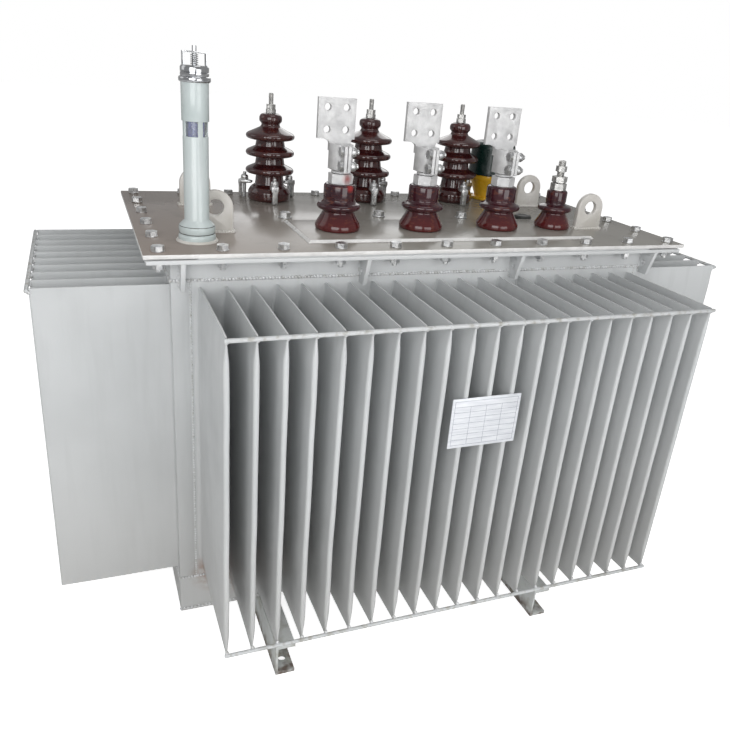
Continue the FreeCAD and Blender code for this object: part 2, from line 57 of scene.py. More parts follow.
def shade(name, **constants):
    """A new material whose shader sockets hold these constants."""
    material = bpy.data.materials.new(name)
    material.use_nodes = True
    shader = material.node_tree.nodes["Principled BSDF"]
    for socket, value in constants.items():
        shader.inputs[socket.replace("_", " ")].default_value = value
    return material


bpy.ops.object.select_all(action="DESELECT")
bpy.ops.mesh.primitive_plane_add(size=40, location=(0, 0, -0.0005))
floor = bpy.context.object
floor.name = "studio_floor"
floor_paper = shade("pale_floor", Base_Color=(0.93, 0.93, 0.93, 1), Roughness=0.9,
                    Emission_Color=(1, 1, 1, 1))
lit_paper = floor_paper.node_tree.nodes.new("ShaderNodeLightPath")
glow = floor_paper.node_tree.nodes.new("ShaderNodeMath")
glow.operation = "MULTIPLY"
floor_glow = 0.75
glow.inputs[1].default_value = floor_glow
floor_paper.node_tree.links.new(lit_paper.outputs["Is Camera Ray"], glow.inputs[0])
floor_shader = floor_paper.node_tree.nodes["Principled BSDF"]
floor_paper.node_tree.links.new(glow.outputs[0], floor_shader.inputs["Emission Strength"])
floor.data.materials.append(floor_paper)

room = bpy.data.worlds.new("white_room")
room.use_nodes = True
room.node_tree.nodes["Background"].inputs["Color"].default_value = (1.0, 1.0, 1.0, 1)
paper = room.node_tree.nodes.new("ShaderNodeBackground")
paper.inputs["Color"].default_value = (1.0, 1.0, 1.0, 1)
paper.inputs["Strength"].default_value = 1.0
seen = room.node_tree.nodes.new("ShaderNodeLightPath")
choice = room.node_tree.nodes.new("ShaderNodeMixShader")
room.node_tree.links.new(seen.outputs["Is Camera Ray"], choice.inputs[0])
room.node_tree.links.new(room.node_tree.nodes["Background"].outputs[0], choice.inputs[1])
room.node_tree.links.new(paper.outputs[0], choice.inputs[2])
room.node_tree.links.new(choice.outputs[0], room.node_tree.nodes["World Output"].inputs[0])
room.node_tree.nodes["Background"].inputs["Strength"].default_value = 0.33
bpy.context.scene.world = room
bpy.context.scene.view_settings.view_transform = "Standard"

lamps = (
    ("key_panel", -33, 20, 2.7, 1.6, 28),
    ("front_fill", 14, 13, 2.6, 1.6, 21),
    ("left_fill", -110, 25, 5.0, 2.5, 12),
    ("overhead_fill", 20, 75, 5.0, 3.0, 34),
    ("rear_fill", 160, 30, 5.0, 3.0, 40),
)
tank_middle = Vector((0, 0, 0.7))
for name, azimuth, elevation, distance, size, power in lamps:
    around, up = math.radians(azimuth), math.radians(elevation)
    towards = Vector((math.sin(around) * math.cos(up), -math.cos(around) * math.cos(up),
                      math.sin(up)))
    bpy.ops.object.light_add(type="AREA", location=tank_middle + towards * distance)
    lamp = bpy.context.object
    lamp.name = name
    lamp.data.energy = power
    lamp.data.size = size
    lamp.rotation_euler = towards.to_track_quat("Z", "Y").to_euler()

camera_yaw = math.radians(22.48)
camera_pitch = math.radians(23.07)
camera_roll = math.radians(4.64)
camera_place = (-0.6982, -1.5745, 1.2685)
camera_lens = 35.48
bpy.ops.object.camera_add(location=camera_place)
camera = bpy.context.object
camera.name = "view_camera"
camera.data.lens = camera_lens
camera.rotation_euler = (Matrix.Rotation(-camera_yaw, 3, "Z")
                         @ Matrix.Rotation(math.pi / 2 - camera_pitch, 3, "X")
                         @ Matrix.Rotation(camera_roll, 3, "Z")).to_euler()
bpy.context.scene.camera = camera


# ---- Tank floor, wall bands and corner posts ------------------------------------------------
# Plain steel plate, cut and folded, with its edges eased by grinding, and sprayed with two
# coats of light grey enamel. The coats lie a little cloudy. Painted light makes the walls paler
# under the flange, and painted shade greys the foot.
def wired(material, kind, **settings):
    """Add a node to a material, with its properties and constant sockets set."""
    node = material.node_tree.nodes.new(kind)
    for name, value in settings.items():
        if hasattr(node, name):
            setattr(node, name, value)
        else:
            node.inputs[name.replace("_", " ")].default_value = value
    return node


def linked(material, source, target):
    material.node_tree.links.new(source, target)


def position(material, scale=(1, 1, 1), centre=(0, 0, 0)):
    """Object coordinates, in metres, moved and stretched."""
    place = wired(material, "ShaderNodeTexCoord")
    mapping = wired(material, "ShaderNodeMapping", Location=[-c * s for c, s in zip(centre, scale)],
                    Scale=scale)
    linked(material, place.outputs["Object"], mapping.inputs["Vector"])
    return mapping.outputs["Vector"]


def noise(material, scale, stretch=(1, 1, 1), detail=3, low=0.35, high=0.65):
    """Soft noise between 0 and 1, with its contrast set by the two levels."""
    cloud = wired(material, "ShaderNodeTexNoise", Scale=scale, Detail=detail)
    linked(material, position(material, stretch), cloud.inputs["Vector"])
    levels = wired(material, "ShaderNodeMapRange", From_Min=low, From_Max=high)
    linked(material, cloud.outputs["Fac"], levels.inputs["Value"])
    return levels.outputs["Result"]


def ramped(material, axis, start, end, reach=1.0):
    """0 before start and 1 after end along an axis, both in metres."""
    split = wired(material, "ShaderNodeSeparateXYZ")
    linked(material, position(material), split.inputs["Vector"])
    levels = wired(material, "ShaderNodeMapRange", From_Min=start, From_Max=end, To_Max=reach,
                   interpolation_type="SMOOTHSTEP")
    linked(material, split.outputs[axis], levels.inputs["Value"])
    return levels.outputs["Result"]


def times(material, first, second):
    """The product of two values, either of which may be a number."""
    product = wired(material, "ShaderNodeMath", operation="MULTIPLY")
    for socket, value in zip(product.inputs, (first, second)):
        if isinstance(value, (int, float)):
            socket.default_value = value
        else:
            linked(material, value, socket)
    return product.outputs["Value"]


def blended(material, amount, under, over):
    """One colour over another; each is a colour or a socket."""
    mix = wired(material, "ShaderNodeMix", data_type="RGBA")
    linked(material, amount, mix.inputs["Factor"])
    for socket, colour in ((mix.inputs[6], under), (mix.inputs[7], over)):
        if isinstance(colour, tuple):
            socket.default_value = (*colour, 1)
        else:
            linked(material, colour, socket)
    return mix.outputs[2]


def spot(material, centre, reach):
    """1 at a point, falling to 0 at its reach."""
    away = wired(material, "ShaderNodeVectorMath", operation="LENGTH")
    linked(material, position(material, centre=centre), away.inputs[0])
    levels = wired(material, "ShaderNodeMapRange", From_Min=reach, From_Max=0.0)
    linked(material, away.outputs["Value"], levels.inputs["Value"])
    return levels.outputs["Result"]


def dressed(material, colour=None, roughness=None, height=None, bump=0.1, depth=0.001):
    """Send a colour, a roughness between two levels, and a height to the shader."""
    shader = material.node_tree.nodes["Principled BSDF"]
    if colour is not None:
        linked(material, colour, shader.inputs["Base Color"])
    if roughness is not None:
        amount, smooth, rough = roughness
        levels = wired(material, "ShaderNodeMapRange", To_Min=smooth, To_Max=rough)
        linked(material, amount, levels.inputs["Value"])
        linked(material, levels.outputs["Result"], shader.inputs["Roughness"])
    if height is not None:
        relief = wired(material, "ShaderNodeBump", Strength=bump, Distance=depth)
        linked(material, height, relief.inputs["Height"])
        linked(material, relief.outputs["Normal"], shader.inputs["Normal"])
    return material


tank_paint = shade("light_grey_enamel", Specular_IOR_Level=0.45)
clouds = blended(tank_paint, noise(tank_paint, 4.0, low=0.3, high=0.7),
                 (0.50, 0.515, 0.52), (0.58, 0.595, 0.60))
streaks = times(tank_paint, noise(tank_paint, 9.0, (6, 6, 0.5), low=0.5, high=0.8), 0.35)
runs = blended(tank_paint, streaks, clouds, (0.44, 0.455, 0.455))
# Painted light: the walls are made paler towards the top, under the flange.
painted_top_light = blended(tank_paint, ramped(tank_paint, "Z", 0.84, 0.90, 0.6), runs, (0.70, 0.71, 0.715))
# Painted shade: the walls are made darker towards the bottom.
painted_light_and_foot_shade = blended(tank_paint, ramped(tank_paint, "Z", 0.75, 0.05, 0.6), painted_top_light, (0.41, 0.405, 0.39))
# Rust stains are laid over the painted light and shade.
rust_over_painted_shading = painted_light_and_foot_shade
for stain, reach in (((-0.43, -0.27, 0.19), 0.09), ((-0.375, -0.27, 0.185), 0.07),
                     ((-0.48, -0.26, 0.18), 0.06), ((0.02, -0.262, 0.18), 0.05)):
    patch = times(tank_paint, spot(tank_paint, stain, reach),
                  noise(tank_paint, 60.0, low=0.35, high=0.6))
    rust_over_painted_shading = blended(tank_paint, patch, rust_over_painted_shading, (0.25, 0.13, 0.08))
dressed(tank_paint, rust_over_painted_shading, (noise(tank_paint, 12.0), 0.34, 0.5),
        noise(tank_paint, 260.0, detail=1), bump=0.06)


def shaped(piece, kind, **settings):
    """Put one modifier on a piece and apply it."""
    pick(piece)
    bpy.ops.object.modifier_add(type=kind)
    modifier = piece.modifiers[-1]
    for name, value in settings.items():
        setattr(modifier, name, value)
    bpy.ops.object.modifier_apply(modifier=modifier.name)
    return piece


def eased(node, name, radius, steps=2):
    """A copy of a CAD plate with its sharp edges rounded off."""
    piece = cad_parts[node].copy()
    piece.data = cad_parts[node].data.copy()
    piece.name = piece.data.name = name
    piece.parent = None
    for key in list(piece.keys()):
        del piece[key]
    piece.data.materials.clear()
    bpy.context.scene.collection.objects.link(piece)
    pick(piece)
    bpy.ops.object.mode_set(mode="EDIT")
    bpy.ops.mesh.select_all(action="SELECT")
    bpy.ops.mesh.customdata_custom_splitnormals_clear()
    bpy.ops.mesh.remove_doubles(threshold=0.00001)
    bpy.ops.mesh.dissolve_limited(angle_limit=math.radians(0.5))
    bpy.ops.mesh.normals_make_consistent(inside=False)
    bpy.ops.object.mode_set(mode="OBJECT")
    shaped(piece, "BEVEL", width=radius, segments=steps, limit_method="ANGLE",
           angle_limit=math.radians(40))
    bpy.ops.object.shade_smooth_by_angle(angle=math.radians(35))
    return piece


for node in ("tank_floor", "lower_wall_band", "corner_posts", "upper_wall_band"):
    plate = eased(node, node + "_plate", 0.0015)
    plate.data.materials.append(tank_paint)
    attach(plate, "root")
    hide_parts(node)


# ---- Fin walls ------------------------------------------------------------------------------
# Each wall is one sheet folded into deep hollow fins at 50 mm pitch. A fin is round at its tip
# and root, pressed flat and seam-welded at its top and bottom, and never quite straight.
fin_pitch = 0.050
fin_half = 0.0055
flat_half = 0.0015
flat_reach = 0.055
root_radius = 0.007
sheet_margin = 0.014


def fin(depth, height):
    """One fin pointing to -Y from the wall at the origin, standing on Z = 0."""
    side = depth - fin_half
    outline = [(-fin_half - root_radius + root_radius * math.sin(a),
                -root_radius + root_radius * math.cos(a))
               for a in (0, math.radians(30), math.radians(60), math.radians(90))]
    outline += [(-fin_half, -root_radius - (side - root_radius) * part)
                for part in (0.25, 0.5, 0.75)]
    outline += [(-fin_half * math.cos(a), -side - fin_half * math.sin(a))
                for a in [math.radians(180 * step / 8) for step in range(9)]]
    outline += [(-x, y) for x, y in reversed(outline[:7])]
    bpy.ops.object.select_all(action="DESELECT")
    bpy.ops.mesh.primitive_plane_add(size=0.001)
    piece = bpy.context.object
    bpy.ops.object.mode_set(mode="EDIT")
    bpy.ops.mesh.merge(type="CENTER")
    bpy.ops.transform.translate(value=(*outline[0], 0))
    for before, after in zip(outline, outline[1:]):
        bpy.ops.mesh.extrude_region_move(TRANSFORM_OT_translate={
            "value": (after[0] - before[0], after[1] - before[1], 0)})
    bpy.ops.mesh.select_all(action="SELECT")
    end_levels = [0.0, 0.004, 0.015, 0.028, 0.042, flat_reach]
    middle = [flat_reach + (height - 2 * flat_reach) * step / 7 for step in range(1, 7)]
    levels = end_levels + middle + [height - level for level in reversed(end_levels)]

    def width(level):
        reach = min(level, height - level, flat_reach) / flat_reach
        eased_reach = reach * reach * (3 - 2 * reach)
        return (flat_half + (fin_half - flat_half) * eased_reach) / fin_half

    bpy.ops.transform.resize(value=(width(0), 1, 1), center_override=(0, 0, 0))
    for before, after in zip(levels, levels[1:]):
        bpy.ops.mesh.extrude_region_move(TRANSFORM_OT_translate={"value": (0, 0, after - before)})
        bpy.ops.transform.resize(value=(width(after) / width(before), 1, 1),
                                 center_override=(0, 0, 0))
    for end in (0.0, height):
        bpy.ops.mesh.select_all(action="DESELECT")
        bpy.ops.object.mode_set(mode="OBJECT")
        for point in piece.data.vertices:
            point.select = abs(point.co.z - end) < 0.0001
        bpy.ops.object.mode_set(mode="EDIT")
        bpy.ops.mesh.edge_face_add()
    bpy.ops.mesh.select_all(action="SELECT")
    bpy.ops.mesh.normals_make_consistent(inside=False)
    bpy.ops.object.mode_set(mode="OBJECT")
    return piece


def fin_wall(name, node, turn, depth, count):
    """A row of fins on its sheet, turned to face its side of the tank."""
    low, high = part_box(node)
    across = high - low
    run, reach = (across.x, across.y) if turn in (0, 180) else (across.y, across.x)
    row = fin(depth, across.z - 2 * sheet_margin)
    row.name = row.data.name = name
    row.location.x = -(count - 1) / 2 * fin_pitch
    bpy.ops.object.transform_apply(location=True)
    shaped(row, "ARRAY", count=count, use_relative_offset=False, use_constant_offset=True,
           constant_offset_displace=(fin_pitch, 0, 0))
    sheet_thickness = reach - depth
    bpy.ops.mesh.primitive_cube_add(size=1, location=(0, sheet_thickness / 2,
                                                      across.z / 2 - sheet_margin))
    sheet = bpy.context.object
    sheet.scale = (run, sheet_thickness, across.z)
    bpy.ops.object.transform_apply(location=True, scale=True)
    pick(row, sheet)
    bpy.ops.object.join()
    outward = Matrix.Rotation(math.radians(turn), 4, "Z") @ Vector((0, -1, 0))
    edge = Vector([high[i] if outward[i] > 0 else low[i] for i in range(3)])
    row.rotation_euler.z = math.radians(turn)
    row.location = Vector((0, 0, low.z + sheet_margin))
    if turn in (0, 180):
        row.location.y = edge.y - outward.y * depth
    else:
        row.location.x = edge.x - outward.x * depth
    bpy.ops.object.transform_apply(location=True, rotation=True)
    shaped(row, "DISPLACE", texture=press_marks, texture_coords="GLOBAL", mid_level=0.5,
           strength=0.0035, direction="X" if turn in (0, 180) else "Y")
    bpy.ops.object.shade_smooth_by_angle(angle=math.radians(50))
    row.data.materials.append(tank_paint)
    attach(row, "root")
    return row


press_marks = bpy.data.textures.new("press_marks", type="CLOUDS")
press_marks.noise_scale = 0.16
for side, turn, depth, count in (("front", 0, 0.266, 21), ("rear", 180, 0.266, 21),
                                 ("left", 270, 0.243, 10), ("right", 90, 0.243, 10)):
    bank = fin_wall(side + "_folded_fins", side + "_fin_wall", turn, depth, count)
    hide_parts(side + "_fin_wall")


# ---- Rods and welds on the fin walls --------------------------------------------------------
# A round rod is welded across the fin tips, top and bottom on the long sides and at the top on
# the ends, so the fins can't spread. Each tip has its own dab of weld; long seams are ripples.
def weld_run(name, start, end, radius, pitch, seed):
    """A hand-laid bead: overlapping ripples along the joint, each a little uneven."""
    start, end = Vector(start), Vector(end)
    run = end - start
    bpy.ops.object.select_all(action="DESELECT")
    bpy.ops.mesh.primitive_uv_sphere_add(segments=8, ring_count=6, radius=radius)
    bead = bpy.context.object
    bead.name = bead.data.name = name
    shaped(bead, "ARRAY", count=max(2, int(run.length / pitch) + 1), use_relative_offset=False,
           use_constant_offset=True, constant_offset_displace=run.normalized() * pitch)
    bpy.ops.object.mode_set(mode="EDIT")
    bpy.ops.mesh.select_all(action="SELECT")
    bpy.ops.transform.vertex_random(offset=radius * 0.22, seed=seed)
    bpy.ops.object.mode_set(mode="OBJECT")
    bead.location = start
    bpy.ops.object.transform_apply(location=True)
    bpy.ops.object.shade_smooth()
    return bead


def joined(name, pieces):
    """Several pieces made one."""
    pick(*pieces)
    bpy.ops.object.join()
    whole = bpy.context.object
    whole.name = whole.data.name = name
    return whole


def rod(name, start, end, radius, sides=20):
    """A round rod with its ends dressed round."""
    start, end = Vector(start), Vector(end)
    run = end - start
    bpy.ops.object.select_all(action="DESELECT")
    bpy.ops.mesh.primitive_cylinder_add(vertices=sides, radius=radius, depth=run.length,
                                        location=(start + end) / 2)
    bar = bpy.context.object
    bar.name = bar.data.name = name
    bar.rotation_euler = run.to_track_quat("Z", "Y").to_euler()
    bpy.ops.object.transform_apply(location=True, rotation=True)
    shaped(bar, "BEVEL", width=radius * 0.35, segments=2, limit_method="ANGLE",
           angle_limit=math.radians(60))
    bpy.ops.object.shade_smooth_by_angle(angle=math.radians(50))
    return bar


bar_paint = shade("grey_enamel_on_rod", Specular_IOR_Level=0.5)
worn = blended(bar_paint, noise(bar_paint, 70.0, low=0.5, high=0.7),
               (0.54, 0.555, 0.56), (0.34, 0.33, 0.30))
dressed(bar_paint, worn, (noise(bar_paint, 40.0), 0.28, 0.45), noise(bar_paint, 300.0), bump=0.08)
weld_paint = shade("grey_enamel_on_weld", Specular_IOR_Level=0.5)
seam = blended(weld_paint, noise(weld_paint, 120.0, low=0.45, high=0.7),
               (0.66, 0.67, 0.68), (0.44, 0.44, 0.42))
dressed(weld_paint, seam, (noise(weld_paint, 90.0), 0.25, 0.45), noise(weld_paint, 500.0),
        bump=0.15)

for node, along, across, count, depth in (("long_side_fin_bars", 0, 1, 21, 0.266),
                                          ("end_fin_bars", 1, 0, 10, 0.243)):
    low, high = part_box(node)
    levels = (low.z, high.z - 0.008) if along == 0 else (low.z,)
    bars, dabs = [], []
    for side in (-1, 1):
        tip = high[across] - 0.008 if side > 0 else low[across] + 0.008
        for level in levels:
            ends = []
            for end in (low[along], high[along]):
                place = Vector((0, 0, level + 0.004))
                place[along], place[across] = end, tip + side * 0.004
                ends.append(place)
            bars.append(rod(node + "_rod", *ends, 0.0039))
            lift = 0.0075 if level == levels[0] and along == 0 else 0.0005
            first = Vector((0, 0, level + lift))
            first[along] = -(count - 1) / 2 * fin_pitch
            first[across] = tip
            last = first.copy()
            last[along] = -first[along]
            dabs.append(weld_run(node + "_dabs", first, last, 0.0042, fin_pitch, 7))
    for name, pieces, paint in ((node + "_rods", bars, bar_paint),
                                (node + "_tacks", dabs, weld_paint)):
        piece = joined(name, pieces)
        piece.data.materials.append(paint)
        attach(piece, "root")
        if paint is bar_paint:
            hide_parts(node)

seams = []
band_low, band_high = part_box("upper_wall_band")
foot_low, foot_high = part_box("lower_wall_band")
post_low, post_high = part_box("corner_posts")
half_x, half_y = band_high.x, band_high.y
post_seam_x = 0.512 * 1.012
for side in (-1, 1):
    x, y = half_x * side, half_y * side
    for level, radius, seed in ((band_low.z, 0.0036, 11), (foot_high.z, 0.003, 13)):
        seams.append(weld_run("seam", (-half_x, y, level), (half_x, y, level), radius, 0.0065,
                              seed))
        seams.append(weld_run("seam", (x, -half_y, level), (x, half_y, level), radius, 0.0065,
                              seed + 1))
    seams.append(weld_run("seam", (-half_x, y, foot_low.z), (half_x, y, foot_low.z), 0.003, 0.008,
                          15))
    for end in (-1, 1):
        seams.append(weld_run("seam", (post_seam_x * end, y, post_low.z),
                              (post_seam_x * end, y, post_high.z), 0.0022, 0.006, 16 + side))
seam_piece = joined("tank_weld_seams", seams)
seam_piece.data.materials.append(weld_paint)
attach(seam_piece, "root")


# ---- Flange, gasket, stop strips and cover --------------------------------------------------
# The tank's flange and the cover are 8 mm plate. Between them lie a black cord gasket and flat
# steel strips that stop it being crushed. The cover has a gloss warm grey coat, browner at the
# end where the filling tube stands.
for node, radius, slot_name in (("tank_flange", 0.0012, "tank_paint"),
                                ("gasket_stop_strips", 0.0006, "zinc_steel")):
    plate = eased(node, node + "_plate", radius)
    plate.data.materials.append(tank_paint)
    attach(plate, "root")
    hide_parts(node)



def mottled(material, dark, light, cloud, gloss, grain, bump):
    """Two close colours in soft clouds, with an uneven gloss and a fine grain."""
    sheen, smooth, rough = gloss
    return dressed(material, blended(material, noise(material, cloud), dark, light),
                   (noise(material, sheen), smooth, rough), noise(material, grain), bump=bump)


rubber = shade("black_gasket_rubber", Roughness=0.8)
mottled(rubber, (0.012, 0.012, 0.012), (0.035, 0.033, 0.03), 90.0, (60.0, 0.65, 0.9), 700.0, 0.2)
gasket = eased("cover_gasket", "cover_gasket_cord", 0.0012)
gasket.data.materials.append(rubber)
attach(gasket, "root")
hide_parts("cover_gasket")

cover_paint = shade("warm_grey_gloss_enamel", Specular_IOR_Level=0.5)
even = blended(cover_paint, noise(cover_paint, 3.5, low=0.3, high=0.7),
               (0.270, 0.255, 0.225), (0.33, 0.32, 0.29))
brown = blended(cover_paint, ramped(cover_paint, "X", -0.05, -0.60, 0.75), even,
                (0.30, 0.245, 0.215))
smears = times(cover_paint, noise(cover_paint, 22.0, low=0.55, high=0.75), 0.35)
grime = blended(cover_paint, smears, brown, (0.20, 0.18, 0.15))
dressed(cover_paint, grime, (noise(cover_paint, 6.0), 0.14, 0.26),
        noise(cover_paint, 55.0, detail=1), bump=0.05)
for node, radius in (("cover_plate", 0.0012), ("lv_pad", 0.0008)):
    plate = eased(node, node + "_coated", radius)
    plate.data.materials.append(cover_paint)
    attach(plate, "root")
    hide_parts(node)
# Painted light: the sides of the cover and pad take a much paler copy of the enamel than the top,
# so they read as lit sides against a darker top.
lit_side_paint = shade("painted_lit_side_enamel", Base_Color=(0.62, 0.61, 0.58, 1))
mottled(lit_side_paint, (0.66, 0.65, 0.64), (0.78, 0.77, 0.76), 30.0, (40.0, 0.25, 0.4), 200.0, 0.05)
cover = bpy.data.objects["cover_plate_coated"]
cover.data.materials.append(lit_side_paint)
pad = bpy.data.objects["lv_pad_coated"]
pad.data.materials.append(lit_side_paint)
for plate in (cover, pad):
    for face in plate.data.polygons:
        if face.normal.z < 0.9:
            face.material_index = 1


# ---- Brackets under the flange --------------------------------------------------------------
# Eight small gussets, cut from 8 mm plate and welded between the upper band and the flange.
brackets = eased("flange_brackets", "flange_bracket_plates", 0.001)
brackets.data.materials.append(tank_paint)
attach(brackets, "root")
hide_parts("flange_brackets")
feet = []
bracket_x = (-0.535, -0.177, 0.177, 0.535)
bracket_low, bracket_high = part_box("flange_brackets")
for x in bracket_x:
    for side in (-1, 1):
        for flank in (-0.0045, 0.0045):
            feet.append(weld_run("foot", (x + flank, side * band_high.y, bracket_low.z + 0.003),
                                 (x + flank, side * band_high.y, bracket_high.z - 0.003),
                                 0.0022, 0.004, 21))
            feet.append(weld_run("foot", (x + flank, side * (band_high.y + 0.002), bracket_high.z),
                                 (x + flank, side * (bracket_high.y - 0.004), bracket_high.z),
                                 0.0022, 0.004, 22))
bracket_welds = joined("flange_bracket_welds", feet)
bracket_welds.data.materials.append(weld_paint)
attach(bracket_welds, "root")


# ---- Cover bolts ----------------------------------------------------------------------------
# Thirty zinc-plated M12 bolts with washers clamp the cover to the flange: heads on top, nuts
# and thread ends below. Three bright plugs close the lifting eyes of the core.
def hexagon(name, across_flats, height, base=0.0, dome=0.12):
    """A hexagon head or nut standing on Z = base, its top corners turned off."""
    corner = across_flats / math.sqrt(3)
    bpy.ops.object.select_all(action="DESELECT")
    bpy.ops.mesh.primitive_cylinder_add(vertices=6, radius=corner, depth=height,
                                        location=(0, 0, base + height / 2))
    head = bpy.context.object
    head.name = head.data.name = name
    bpy.ops.object.transform_apply(location=True)
    for face in head.data.polygons:
        face.select = face.normal.z > 0.9
    for edge in head.data.edges:
        edge.select = False
    bpy.ops.object.mode_set(mode="EDIT")
    bpy.ops.mesh.select_mode(type="FACE")
    bpy.ops.mesh.inset(thickness=corner * 0.14, depth=across_flats * dome * 0.6)
    bpy.ops.mesh.select_mode(type="VERT")
    bpy.ops.object.mode_set(mode="OBJECT")
    return head


def repeated(name, pattern, places):
    """Copies of a piece made at the origin, one at each place or placement, joined."""
    copies = []
    for place in places:
        twin = pattern.copy()
        twin.data = pattern.data.copy()
        bpy.context.scene.collection.objects.link(twin)
        placement = place if isinstance(place, Matrix) else Matrix.Translation(place)
        twin.data.transform(placement)
        copies.append(twin)
    bpy.data.objects.remove(pattern)
    return joined(name, copies)


def disc(name, radius, height, base=0.0, sides=24, ease=0.0008):
    """A short round of metal with eased rims, standing on Z = base."""
    bpy.ops.object.select_all(action="DESELECT")
    bpy.ops.mesh.primitive_cylinder_add(vertices=sides, radius=radius, depth=height,
                                        location=(0, 0, base + height / 2))
    piece = bpy.context.object
    piece.name = piece.data.name = name
    bpy.ops.object.transform_apply(location=True)
    shaped(piece, "BEVEL", width=ease, segments=1, limit_method="ANGLE",
           angle_limit=math.radians(60))
    bpy.ops.object.shade_smooth_by_angle(angle=math.radians(40))
    return piece


zinc = shade("bright_zinc_plate", Metallic=1.0)
mottled(zinc, (0.52, 0.53, 0.545), (0.78, 0.78, 0.77), 150.0, (220.0, 0.26, 0.46), 900.0, 0.1)
bolt_x, bolt_y, side_count, end_count = 0.577, 0.277, 11, 6
bolt_places = [(-bolt_x + 2 * bolt_x * step / (side_count - 1), side * bolt_y)
               for step in range(side_count) for side in (-1, 1)]
bolt_places += [(side * bolt_x, -bolt_y + 2 * bolt_y * step / (end_count - 1))
                for step in range(1, end_count - 1) for side in (-1, 1)]
turns = random.Random(5)
placements = [Matrix.Translation((x, y, 0)) @ Matrix.Rotation(turns.uniform(0, math.pi / 3), 4, "Z")
              for x, y in bolt_places]
top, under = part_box("cover_plate")[1].z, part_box("tank_flange")[0].z
washer_radius, washer_thickness, bolt_flats = 0.0118, 0.0022, 0.018
bolt = joined("bolt", [disc("washer", washer_radius, washer_thickness, top),
                       hexagon("head", bolt_flats, 0.0070, top + washer_thickness),
                       disc("lower_washer", washer_radius, washer_thickness,
                            under - washer_thickness),
                       hexagon("nut", bolt_flats, 0.0095, under - 0.0117, 0.0),
                       disc("thread_end", 0.0058, 0.006, under - 0.0177, 14)])
cover_bolts = repeated("cover_bolts", bolt, placements)
cover_bolts.data.materials.append(zinc)
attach(cover_bolts, "root")
plug = joined("plug", [disc("plug_washer", 0.015, 0.0025, top),
                       hexagon("plug_head", 0.019, 0.009, top + 0.0025)])
plugs = repeated("cover_plugs", plug, [(-0.272, -0.005, 0), (-0.040, 0.006, 0), (0.172, -0.010, 0)])
plugs.data.materials.append(zinc)
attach(plugs, "root")


# ---- Lifting lugs ---------------------------------------------------------------------------
# Four lugs of 12 mm plate with a shackle hole, welded on the cover all round their feet and
# sprayed a paler grey with the tank.
lug_paint = shade("pale_warm_grey_enamel", Specular_IOR_Level=0.5)
mottled(lug_paint, (0.55, 0.53, 0.49), (0.66, 0.64, 0.61), 14.0, (25.0, 0.25, 0.4), 250.0, 0.06)
lugs = eased("lifting_lugs", "lifting_lug_plates", 0.0016)
lugs.data.materials.append(lug_paint)
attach(lugs, "root")
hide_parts("lifting_lugs")
lug_welds = []
for x in (-0.45, 0.45):
    for y in (-0.135, 0.135):
        for flank in (-0.0072, 0.0072):
            lug_welds.append(weld_run("lug_weld", (x - 0.036, y + flank, top + 0.001),
                                      (x + 0.036, y + flank, top + 0.001), 0.0042, 0.005, 31))
        for flank in (-0.036, 0.036):
            lug_welds.append(weld_run("lug_weld", (x + flank, y - 0.006, top + 0.001),
                                      (x + flank, y + 0.006, top + 0.001), 0.0042, 0.005, 32))
lug_seams = joined("lifting_lug_welds", lug_welds)
lug_seams.data.materials.append(lug_paint)
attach(lug_seams, "root")


# ---- High-voltage bushings ------------------------------------------------------------------
# Glazed porcelain, turned on a wheel: a stout foot, three thin drooping sheds and a rounded
# cap, fired dark maroon. A threaded stud with stacked zinc nuts stands out of each cap.
def turned(name, outline, x, y, z, ease=0.0, sides=56, ease_steps=3):
    """Lay out half an outline point by point, ease its corners and spin it round the axis."""
    bpy.ops.object.select_all(action="DESELECT")
    bpy.ops.mesh.primitive_plane_add(size=0.001)
    piece = bpy.context.object
    piece.name = piece.data.name = name
    bpy.ops.object.mode_set(mode="EDIT")
    bpy.ops.mesh.merge(type="CENTER")
    bpy.ops.transform.translate(value=(outline[0][0], 0, outline[0][1]))
    for before, after in zip(outline, outline[1:]):
        bpy.ops.mesh.extrude_region_move(TRANSFORM_OT_translate={
            "value": (after[0] - before[0], 0, after[1] - before[1])})
    bpy.ops.mesh.select_all(action="SELECT")
    if ease:
        bpy.ops.mesh.bevel(offset=ease, segments=ease_steps, affect="VERTICES", clamp_overlap=True)
    bpy.ops.mesh.select_all(action="SELECT")
    bpy.ops.mesh.spin(steps=sides, angle=2 * math.pi, center=(0, 0, 0), axis=(0, 0, 1))
    bpy.ops.mesh.select_all(action="SELECT")
    bpy.ops.mesh.remove_doubles(threshold=0.00002)
    bpy.ops.mesh.normals_make_consistent(inside=False)
    bpy.ops.object.mode_set(mode="OBJECT")
    piece.data.transform(Matrix.Translation((x, y, z)))
    bpy.ops.object.shade_smooth_by_angle(angle=math.radians(50))
    return piece


def axis_of(node):
    """The middle of a round piece, and its lowest level."""
    low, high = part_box(node)
    return (low.x + high.x) / 2, (low.y + high.y) / 2, low.z


